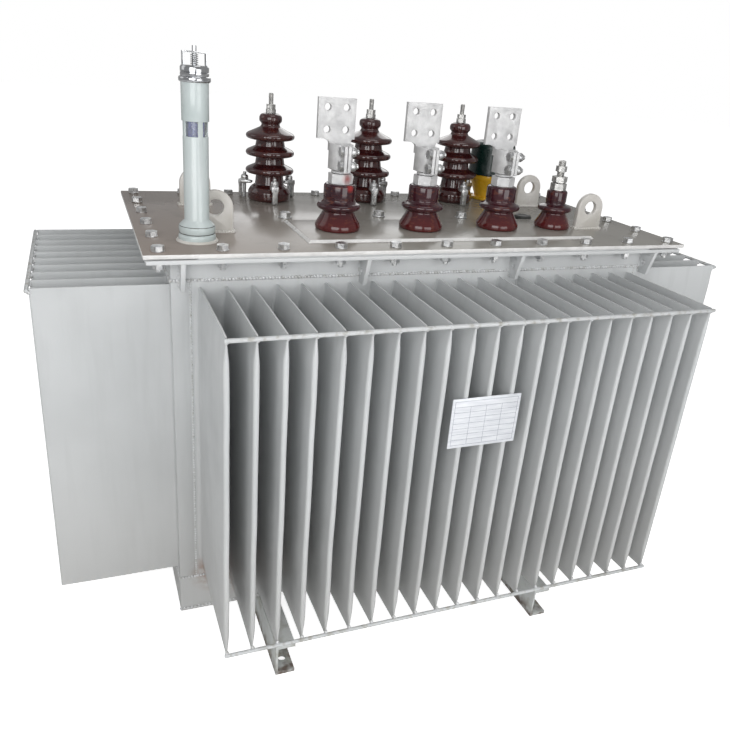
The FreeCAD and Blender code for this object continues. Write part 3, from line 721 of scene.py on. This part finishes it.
glaze = shade("maroon_porcelain_glaze", Specular_IOR_Level=0.6, Coat_Weight=0.6,
              Coat_Roughness=0.04)
body_glaze = blended(glaze, noise(glaze, 30.0, low=0.3, high=0.7),
                     (0.030, 0.006, 0.008), (0.060, 0.013, 0.012))
thin_glaze = blended(glaze, times(glaze, noise(glaze, 80.0, (1, 1, 3), low=0.55, high=0.75), 0.6),
                     body_glaze, (0.13, 0.035, 0.020))
dressed(glaze, thin_glaze, (noise(glaze, 60.0), 0.07, 0.16), noise(glaze, 45.0, detail=1),
        bump=0.10)
hv_body_radius = 0.0335
hv_shed_levels = (0.073, 0.115, 0.154)
hv_outline = [(0, 0), (0.049, 0), (0.052, 0.005), (0.052, 0.021), (0.046, 0.031),
              (0.0355, 0.038), (hv_body_radius, 0.058)]
for level in hv_shed_levels:
    hv_outline += [(hv_body_radius, level - 0.0115), (0.050, level - 0.0095),
                   (0.0565, level - 0.0075), (0.059, level - 0.003), (0.0585, level + 0.0015),
                   (0.055, level + 0.005), (0.047, level + 0.0088), (0.036, level + 0.0138)]
hv_outline += [(0.0245, 0.1735), (0.0215, 0.179), (0.0235, 0.1825), (0.0270, 0.186),
               (0.0275, 0.191), (0.0272, 0.196), (0.0245, 0.201), (0.019, 0.204), (0, 0.204)]
for letter in "abc":
    node = "hv_bushing_" + letter
    x, y, z = axis_of(node)
    porcelain = turned("hv_porcelain_" + letter, hv_outline, x, y, z, ease=0.0016, ease_steps=2)
    porcelain.data.materials.append(glaze)
    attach(porcelain, "root")
    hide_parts(node)

steel = shade("dull_zinc_steel", Metallic=1.0)
mottled(steel, (0.48, 0.48, 0.47), (0.74, 0.73, 0.71), 120.0, (200.0, 0.30, 0.5), 700.0, 0.15)


def threaded(name, radius, bottom, top, pitch, sides=18):
    """A stud whose thread shows as close rings."""
    outline = [(0, bottom), (radius * 0.86, bottom)]
    level = bottom
    while level + pitch < top:
        outline += [(radius * 0.86, level + pitch * 0.2), (radius, level + pitch * 0.6)]
        level += pitch
    outline += [(radius * 0.86, level), (radius * 0.86, top - 0.0008), (radius * 0.7, top),
                (0, top)]
    return turned(name, outline, 0, 0, 0, sides=sides)


hv_x = [axis_of("hv_bushing_" + letter)[0] for letter in "abc"]
hv_y, hv_seat = axis_of("hv_bushing_a")[1:]
hv_stud = joined("hv_stud", [threaded("thread", 0.006, 0.200, 0.250, 0.0022),
                             disc("flat_washer", 0.0115, 0.002, 0.204, 20),
                             hexagon("lower_nut", 0.0195, 0.0075, 0.206, 0.09),
                             disc("spring_washer", 0.0085, 0.003, 0.2140, 20),
                             hexagon("upper_nut", 0.0170, 0.0075, 0.2165, 0.12)])
hv_studs = repeated("hv_stud_and_nuts", hv_stud, [(x, hv_y, hv_seat) for x in hv_x])
hv_studs.data.materials.append(steel)
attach(hv_studs, "root")
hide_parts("hv_studs")


# ---- Clamps round the high-voltage bushings -------------------------------------------------
# Three cast claws press on each porcelain foot. Each hooks over the foot with a rounded nose,
# narrows to the leg it stands on, and is drawn down by a stud with a washer and a domed cap nut.
claw_x = 0.0755
bpy.ops.object.select_all(action="DESELECT")
bpy.ops.mesh.primitive_cube_add(size=1, location=(claw_x, 0, 0.014))
claw = bpy.context.object
claw.scale = (0.0070, 0.014, 0.028)
bpy.ops.object.transform_apply(location=True, scale=True)


def only_faces(piece, wanted):
    """Leave only the faces that pass a test selected, ready to be extruded."""
    bpy.ops.object.mode_set(mode="OBJECT")
    for part in (*piece.data.vertices, *piece.data.edges, *piece.data.polygons):
        part.select = False
    for face in piece.data.polygons:
        face.select = wanted(face)
    bpy.ops.object.mode_set(mode="EDIT")
    bpy.ops.mesh.select_mode(type="FACE")


only_faces(claw, lambda face: face.normal.z > 0.9)
bpy.ops.mesh.extrude_region_move(TRANSFORM_OT_translate={"value": (0, 0, 0.0065)})
bpy.ops.transform.resize(value=(1, 1.42, 1), center_override=(claw_x, 0, 0.0345))
bpy.ops.mesh.extrude_region_move(TRANSFORM_OT_translate={"value": (0, 0, 0.0095)})
bpy.ops.transform.resize(value=(1, 0.92, 1), center_override=(claw_x, 0, 0.044))
only_faces(claw, lambda face: face.normal.x < -0.9 and face.center.z > 0.0346)
bpy.ops.mesh.extrude_region_move(TRANSFORM_OT_translate={"value": (-0.0165, 0, 0)})
bpy.ops.mesh.extrude_region_move(TRANSFORM_OT_translate={"value": (-0.0105, 0, 0)})
bpy.ops.transform.resize(value=(1, 0.62, 0.75), center_override=(0.045, 0, 0.0385))
bpy.ops.mesh.select_mode(type="VERT")
bpy.ops.object.mode_set(mode="OBJECT")
shaped(claw, "BEVEL", width=0.0030, segments=3, limit_method="ANGLE", angle_limit=math.radians(30))
bpy.ops.object.shade_smooth_by_angle(angle=math.radians(45))
clamp_stud_x = 0.065
clamp_angles = (-93, 27, 147)
clamp_parts = [threaded("clamp_thread", 0.0046, 0.0, 0.0615, 0.002, 12),
               disc("clamp_washer", 0.010, 0.002, 0.0438, 18),
               turned("domed_nut", [(0, 0.0458), (0.0088, 0.0458), (0.0094, 0.0480),
                                    (0.0090, 0.0515), (0.0070, 0.0545), (0.0046, 0.0555),
                                    (0, 0.0558)], 0, 0, 0, sides=20)]
for part in clamp_parts:
    part.data.transform(Matrix.Translation((clamp_stud_x, 0, 0)))
clamp = joined("clamp", [claw] + clamp_parts)
clamp_places = [Matrix.Translation((x, hv_y, hv_seat))
                @ Matrix.Rotation(math.radians(angle), 4, "Z")
                for x in hv_x for angle in clamp_angles]
clamps = repeated("hv_clamp_castings", clamp, clamp_places)
clamps.data.materials.append(zinc)
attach(clamps, "root")
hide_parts("hv_clamps")


# ---- Low-voltage bushings and the neutral ---------------------------------------------------
# Short porcelains with a flared foot, one thin shed and a plain drum head. They stand on
# the raised pad; the glaze is redder where it runs thin.
lv_glaze = shade("red_maroon_porcelain_glaze", Specular_IOR_Level=0.45, Coat_Weight=0.35,
                 Coat_Roughness=0.05)
lv_body = blended(lv_glaze, noise(lv_glaze, 26.0, low=0.3, high=0.7),
                  (0.026, 0.006, 0.011), (0.050, 0.011, 0.016))
lv_foot = blended(lv_glaze, ramped(lv_glaze, "Z", 0.985, 0.940, 0.8), lv_body,
                  (0.090, 0.010, 0.010))
thin_rims = times(lv_glaze, noise(lv_glaze, 70.0, (1, 1, 3), low=0.55, high=0.75), 0.6)
lv_rim = blended(lv_glaze, thin_rims, lv_foot, (0.17, 0.05, 0.025))
red_mark = (0.42, 0.035, 0.03)
head_mark = times(lv_glaze, spot(lv_glaze, (-0.1815, -0.1735, 1.021), 0.011),
                  noise(lv_glaze, 260.0, (1, 1, 0.4), low=0.2, high=0.4))
lv_marked = blended(lv_glaze, head_mark, lv_rim, red_mark)
dressed(lv_glaze, lv_marked, (noise(lv_glaze, 60.0), 0.07, 0.16),
        noise(lv_glaze, 45.0, detail=1), bump=0.10)


def lv_outline(scale, rise, head):
    """Flared foot, shed and drum head; the neutral is the same mould made smaller."""
    foot = [(0, 0), (0.0455, 0), (0.0478, 0.003), (0.0482, 0.008), (0.0470, 0.0125),
            (0.0420, 0.0215), (0.0370, 0.0300), (0.0330, 0.0375), (0.0335, 0.0400),
            (0.0390, 0.0418), (0.0440, 0.0440), (0.0462, 0.0480), (0.0460, 0.0510),
            (0.0435, 0.0545), (0.0390, 0.0565)]
    drum = [(head + 0.001, 0.0590), (head - 0.001, 0.0625), (head, 0.068), (head, 0.091),
            (head - 0.003, 0.095), (0, 0.095)]
    return ([(radius * scale, level * rise) for radius, level in foot]
            + [(radius, level * rise) for radius, level in drum])


for letter, scale, rise, head in (("a", 1, 1, 0.0335), ("b", 1, 1, 0.0335), ("c", 1, 1, 0.0335),
                                  ("n", 0.86, 0.92, 0.0235)):
    node = "neutral_bushing" if letter == "n" else "lv_bushing_" + letter
    x, y, z = axis_of(node)
    porcelain = turned("lv_porcelain_" + letter, lv_outline(scale, rise, head), x, y, z,
                       ease=0.0014, ease_steps=2)
    porcelain.data.materials.append(lv_glaze)
    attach(porcelain, "root")
    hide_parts(node)
lv_x = [axis_of("lv_bushing_" + letter)[0] for letter in "abc"]
lv_y, lv_seat = axis_of("lv_bushing_a")[1:]
neutral_x = axis_of("neutral_bushing")[0]

tin = shade("tinned_casting", Metallic=0.25, Specular_IOR_Level=0.5)
casting_skin = blended(tin, noise(tin, 60.0, low=0.3, high=0.7),
                       (0.56, 0.56, 0.565), (0.72, 0.72, 0.72))
nut_mark = times(tin, spot(tin, (-0.185, -0.1665, 1.038), 0.015),
                 noise(tin, 260.0, (1, 1, 0.4), low=0.2, high=0.4))
dressed(tin, blended(tin, nut_mark, casting_skin, red_mark),
        (noise(tin, 110.0), 0.42, 0.62), noise(tin, 380.0), bump=0.25)
lv_stud = joined("lv_stud", [threaded("lv_thread", 0.0148, 0.093, 0.168, 0.0035, 24),
                             disc("lv_washer", 0.0235, 0.002, 0.095, 28),
                             hexagon("lv_nut", 0.0430, 0.0175, 0.097, 0.04),
                             disc("lv_collar", 0.0200, 0.0045, 0.1165, 28)])
lv_studs = repeated("lv_stud_and_nuts", lv_stud, [(x, lv_y, lv_seat) for x in lv_x])
lv_studs.data.materials.append(tin)
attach(lv_studs, "root")
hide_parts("lv_studs")
neutral = joined("neutral_hardware", [threaded("neutral_thread", 0.009, 0.085, 0.154, 0.0026, 20),
                                      disc("neutral_washer", 0.0165, 0.0025, 0.0870, 24),
                                      hexagon("neutral_lower_nut", 0.030, 0.0125, 0.0895, 0.06),
                                      disc("neutral_spring", 0.0155, 0.003, 0.1040, 24),
                                      hexagon("neutral_upper_nut", 0.0285, 0.0105, 0.1070, 0.06),
                                      hexagon("neutral_lock_nut", 0.0205, 0.0110, 0.1300, 0.06),
                                      disc("neutral_tip", 0.0080, 0.0110, 0.1420, 20)])
neutral.data.transform(Matrix.Translation((neutral_x, lv_y, lv_seat)))
neutral.data.materials.append(steel)
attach(neutral, "root")
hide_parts("neutral_stud")


# ---- Flag terminals -------------------------------------------------------------------------
# A tinned brass casting each: a split barrel clamped round the stud by two bolts through its
# ears, and a four-hole flag for the cable lugs. The halves are drawn up with zinc bolts.
for letter in "abc":
    node = "lv_flag_terminal_" + letter
    casting = eased(node, node + "_casting", 0.0012)
    casting.data.materials.append(tin)
    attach(casting, "root")
    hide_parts(node)
clamp_low, clamp_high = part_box("lv_clamp_bolts")
bolt_row_y = (clamp_low.y + clamp_high.y) / 2
sideways = Matrix.Rotation(math.radians(90), 4, "Y")
clamp_bolt = joined("clamp_bolt", [disc("head_washer", 0.0112, 0.0015, -0.0110, 20),
                                   hexagon("head", 0.0175, 0.0062, -0.0166, 0.0),
                                   disc("shank", 0.005, 0.034, -0.010, 14),
                                   disc("ear_washer", 0.0118, 0.0018, 0.0050, 20),
                                   turned("domed_nut", [(0, 0.0067), (0.0098, 0.0067),
                                                        (0.0102, 0.0090), (0.0100, 0.0145),
                                                        (0.0080, 0.0182), (0.0046, 0.0203),
                                                        (0, 0.0207)], 0, 0, 0, sides=20)])
bolt_levels = (clamp_low.z + 0.008, clamp_high.z - 0.008)
clamp_bolts = repeated("lv_clamp_bolts_and_nuts", clamp_bolt,
                       [Matrix.Translation((x, bolt_row_y, level)) @ sideways
                        for x in lv_x for level in bolt_levels])
clamp_bolts.data.materials.append(zinc)
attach(clamp_bolts, "root")
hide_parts("lv_clamp_bolts")


# ---- Oil filling tube -----------------------------------------------------------------------
# A painted steel tube in a welded socket. Windows through its wall show a sight glass with a
# blue level float. On top sits a chrome breather cap with a knurled ring and a strap yoke.
tube_paint = shade("pale_green_grey_gloss_enamel", Specular_IOR_Level=0.5, Coat_Weight=0.3,
                   Coat_Roughness=0.06)
pale_green = blended(tube_paint, noise(tube_paint, 10.0, low=0.3, high=0.7),
                     (0.48, 0.545, 0.54), (0.55, 0.60, 0.60))
dressed(tube_paint, pale_green, (noise(tube_paint, 30.0), 0.14, 0.26),
        noise(tube_paint, 200.0, detail=1), bump=0.05)
filler_x, filler_y, filler_z = axis_of("filler_socket")
socket_piece = turned("filler_socket_boss", [(0, 0), (0.035, 0), (0.035, 0.0105),
                                             (0.0335, 0.0145), (0.031, 0.016), (0, 0.016)],
                      filler_x, filler_y, filler_z, ease=0.001)
socket_piece.data.materials.append(tube_paint)
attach(socket_piece, "root")
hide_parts("filler_socket")
socket_weld = turned("filler_socket_weld", [(0.034, -0.001), (0.0385, -0.001), (0.0395, 0.001),
                                            (0.0372, 0.0042), (0.034, 0.0050)],
                     filler_x, filler_y, filler_z, sides=48)
socket_weld.data.materials.append(lug_paint)
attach(socket_weld, "root")
tube_body = eased("filler_tube", "filler_tube_barrel", 0.0008)
tube_body.data.materials.append(tube_paint)
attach(tube_body, "root")
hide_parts("filler_tube")
collar_ring = turned("filler_collar_ring", [(0.0325, 0.0188), (0.0336, 0.0192), (0.0340, 0.0205),
                                            (0.0340, 0.0270), (0.0336, 0.0284), (0.0325, 0.0288)],
                     filler_x, filler_y, filler_z)
collar_ring.data.materials.append(tube_paint)
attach(collar_ring, "root")
joint_dark = shade("dark_joint_line", Roughness=0.8)
dressed(joint_dark, blended(joint_dark, noise(joint_dark, 200.0),
                            (0.05, 0.05, 0.045), (0.12, 0.12, 0.11)))
joint_rings = joined("filler_joint_lines", [
    turned(name, [(0.0320, low_edge), (0.0331, low_edge), (0.0331, high_edge),
                  (0.0320, high_edge)], filler_x, filler_y, filler_z)
    for name, low_edge, high_edge in (("lower_line", 0.0155, 0.0170),
                                      ("upper_line", 0.0294, 0.0306))])
joint_rings.data.materials.append(joint_dark)
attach(joint_rings, "root")

glass = shade("clear_sight_glass", Roughness=0.03, Transmission_Weight=0.85, IOR=1.45)
dressed(glass, blended(glass, noise(glass, 40.0), (0.80, 0.86, 0.88), (0.88, 0.92, 0.93)))
sight = eased("sight_glass", "sight_glass_tube", 0.0004)
sight.data.materials.append(glass)
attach(sight, "root")
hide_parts("sight_glass")
window_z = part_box("sight_glass")[0].z
blue = shade("blue_float_plastic")
mottled(blue, (0.035, 0.035, 0.32), (0.07, 0.07, 0.48), 60.0, (90.0, 0.25, 0.4), 300.0, 0.05)
level_float = turned("level_float", [(0, 0.001), (0.0140, 0.001), (0.0165, 0.004),
                                     (0.0165, 0.034), (0.0140, 0.037), (0, 0.037)],
                     filler_x, filler_y, window_z, ease=0.001)
level_float.data.materials.append(blue)
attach(level_float, "root")

chrome = shade("polished_chrome", Metallic=1.0)
mottled(chrome, (0.50, 0.51, 0.53), (0.68, 0.69, 0.70), 30.0, (120.0, 0.06, 0.18), 500.0, 0.05)
cap_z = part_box("filler_cap")[0].z
cap_ring = turned("cap_ring", [(0, 0), (0.0262, 0), (0.0275, 0.0015), (0.0280, 0.0030),
                               (0.0280, 0.0070), (0.0268, 0.0085), (0.0245, 0.0100),
                               (0.0250, 0.0115), (0.0250, 0.0150), (0.0240, 0.0160),
                               (0.0250, 0.0170), (0.0250, 0.0240), (0.0230, 0.0268),
                               (0, 0.0270)], filler_x, filler_y, cap_z)
ribs = []
rib_count = 14
for step in range(rib_count):
    bpy.ops.object.select_all(action="DESELECT")
    bpy.ops.mesh.primitive_cube_add(size=1)
    rib = bpy.context.object
    rib.scale = (0.0042, 0.0052, 0.0080)
    bpy.ops.object.transform_apply(scale=True)
    shaped(rib, "BEVEL", width=0.0014, segments=2)
    rib.data.transform(Matrix.Translation((filler_x, filler_y, cap_z + 0.0048))
                       @ Matrix.Rotation(2 * math.pi * step / rib_count, 4, "Z")
                       @ Matrix.Translation((0.0258, 0, 0)))
    ribs.append(rib)
cap = joined("filler_cap_knurled", [cap_ring] + ribs)
bpy.ops.object.shade_smooth_by_angle(angle=math.radians(40))
cap.data.materials.append(chrome)
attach(cap, "root")
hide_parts("filler_cap")
yoke_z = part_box("filler_cap_yoke")[0].z
yoke = eased("filler_cap_yoke", "filler_cap_strap", 0.0011, 3)
coil = []
for turn_level in range(6):
    bpy.ops.object.select_all(action="DESELECT")
    bpy.ops.mesh.primitive_torus_add(major_radius=0.0062, minor_radius=0.0009,
                                     major_segments=20, minor_segments=6,
                                     location=(filler_x, filler_y,
                                               yoke_z + 0.0022 + 0.0030 * turn_level))
    bpy.ops.object.transform_apply(location=True)
    bpy.ops.object.shade_smooth()
    coil.append(bpy.context.object)
yoke = joined("filler_cap_strap", [yoke] + coil)
yoke.data.materials.append(chrome)
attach(yoke, "root")
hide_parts("filler_cap_yoke")


# ---- Pressure relief valve, tap changer and thermometer pocket ------------------------------
# The relief valve is a yellow painted funnel of sheet steel under a dark green pressed hood. The
# tap changer is a low green knob, and a black plug closes the thermometer pocket.
valve_x, valve_y, valve_z = axis_of("relief_valve_body")
yellow = shade("yellow_gloss_enamel", Specular_IOR_Level=0.5)
mottled(yellow, (0.62, 0.34, 0.015), (0.78, 0.46, 0.03), 18.0, (40.0, 0.18, 0.32), 240.0, 0.06)
valve_body = turned("relief_valve_drum", [(0, 0), (0.046, 0), (0.046, 0.0075), (0.0365, 0.0085),
                                          (0.0565, 0.0590), (0.057, 0.062), (0.057, 0.070),
                                          (0, 0.070)],
                    valve_x, valve_y, valve_z, ease=0.0015, ease_steps=2)
green = shade("dark_green_gloss_enamel", Specular_IOR_Level=0.5)
mottled(green, (0.003, 0.013, 0.011), (0.006, 0.022, 0.018), 20.0, (40.0, 0.15, 0.3), 240.0, 0.06)
cap_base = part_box("relief_valve_cap")[0].z
valve_cap = turned("relief_valve_hood", [(0, 0), (0.064, 0), (0.064, 0.005), (0.0615, 0.0065),
                                         (0.0605, 0.070), (0.0585, 0.080), (0.050, 0.086),
                                         (0.040, 0.088), (0, 0.088)],
                   valve_x, valve_y, cap_base, ease=0.002)
black = shade("black_moulded_plastic", Specular_IOR_Level=0.5)
mottled(black, (0.018, 0.019, 0.018), (0.04, 0.042, 0.04), 50.0, (90.0, 0.3, 0.5), 450.0, 0.12)
tap_x, tap_y, tap_z = axis_of("tap_changer")
tap_parts = [turned("tap_base", [(0, 0), (0.026, 0), (0.026, 0.008), (0.024, 0.010), (0, 0.010)],
                    tap_x, tap_y, tap_z, ease=0.0008),
             turned("tap_knob", [(0, 0.010), (0.018, 0.010), (0.020, 0.013), (0.020, 0.026),
                                 (0.017, 0.030), (0, 0.030)],
                    tap_x, tap_y, tap_z, ease=0.001)]
tap = joined("tap_changer_handle", tap_parts)
pocket_x, pocket_y, pocket_z = axis_of("thermometer_pocket")
pocket = turned("thermometer_pocket_plug", [(0, 0), (0.022, 0), (0.022, 0.0062),
                                            (0.0185, 0.0096), (0.012, 0.0100),
                                            (0.0105, 0.0088), (0, 0.0088)],
                pocket_x, pocket_y, pocket_z, ease=0.0008)
for piece, paint, node, slot_name in (
        (valve_body, yellow, "relief_valve_body", "yellow_paint"),
        (valve_cap, green, "relief_valve_cap", "green_paint"),
        (tap, green, "tap_changer", "green_paint"),
        (pocket, black, "thermometer_pocket", "black_plastic")):
    piece.data.materials.append(paint)
    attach(piece, "root")
    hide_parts(node)


# ---- Rating plate ---------------------------------------------------------------------------
# A thin bare aluminium plate riveted across three fin tips. Only its ruled frame is engraved.
plate_metal = shade("pale_anodised_aluminium", Metallic=0.35, Specular_IOR_Level=0.5)
brushed = blended(plate_metal, noise(plate_metal, 25.0, (1, 1, 8)),
                  (0.66, 0.68, 0.72), (0.78, 0.80, 0.83))
dressed(plate_metal, brushed, (noise(plate_metal, 60.0), 0.28, 0.42),
        noise(plate_metal, 300.0, (8, 1, 1)), bump=0.04)
plate = eased("rating_plate", "rating_plate_blank", 0.0005)
plate.data.materials.append(plate_metal)
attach(plate, "root")
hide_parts("rating_plate")
plate_low, plate_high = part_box("rating_plate")
ink = shade("grey_engraving")
dressed(ink, blended(ink, noise(ink, 200.0), (0.22, 0.24, 0.30), (0.34, 0.36, 0.42)),
        (noise(ink, 90.0), 0.4, 0.6))
rulings = []
plate_face = plate_low.y + 0.0004
inset = 0.006
width = plate_high.x - plate_low.x - 2 * inset
tall = plate_high.z - plate_low.z - 2 * inset
left, foot = plate_low.x + inset, plate_low.z + inset
stroke = 0.0007
lines = [((plate_low.x + plate_high.x) / 2, foot + tall * row / 8, width, stroke)
         for row in range(9)]
lines += [(left + width * part, foot + tall / 2, stroke, tall) for part in (0, 1)]
lines += [(left + width * part, foot + tall * 7 / 16, stroke, tall * 7 / 8)
          for part in (0.25, 0.5, 0.75)]
for x, z, long, high in lines:
    bpy.ops.object.select_all(action="DESELECT")
    bpy.ops.mesh.primitive_cube_add(size=1, location=(x, plate_face, z))
    line = bpy.context.object
    line.scale = (long, 0.0009, high)
    bpy.ops.object.transform_apply(location=True, scale=True)
    rulings.append(line)
ruling = joined("rating_plate_rulings", rulings)
ruling.data.materials.append(ink)
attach(ruling, "root")


# ---- Skids ----------------------------------------------------------------------------------
# Two rolled channels under the floor, painted with the tank. Rust shows at the foot.
skid_paint = shade("worn_grey_enamel_on_skid", Specular_IOR_Level=0.45)
fresh = blended(skid_paint, noise(skid_paint, 10.0), (0.52, 0.54, 0.53), (0.62, 0.64, 0.63))
scuffs = times(skid_paint, ramped(skid_paint, "Z", 0.045, 0.0),
               noise(skid_paint, 45.0, low=0.35, high=0.6))
scuffed = blended(skid_paint, scuffs, fresh, (0.11, 0.075, 0.055))
olive = blended(skid_paint, times(skid_paint, noise(skid_paint, 28.0, low=0.5, high=0.7), 0.6),
                scuffed, (0.27, 0.26, 0.20))
dressed(skid_paint, olive, (noise(skid_paint, 40.0), 0.4, 0.7), noise(skid_paint, 160.0), bump=0.2)
for node in ("left_skid", "right_skid"):
    channel = eased(node, node + "_channel", 0.0018)
    channel.data.materials.append(skid_paint)
    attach(channel, "root")
    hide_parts(node)
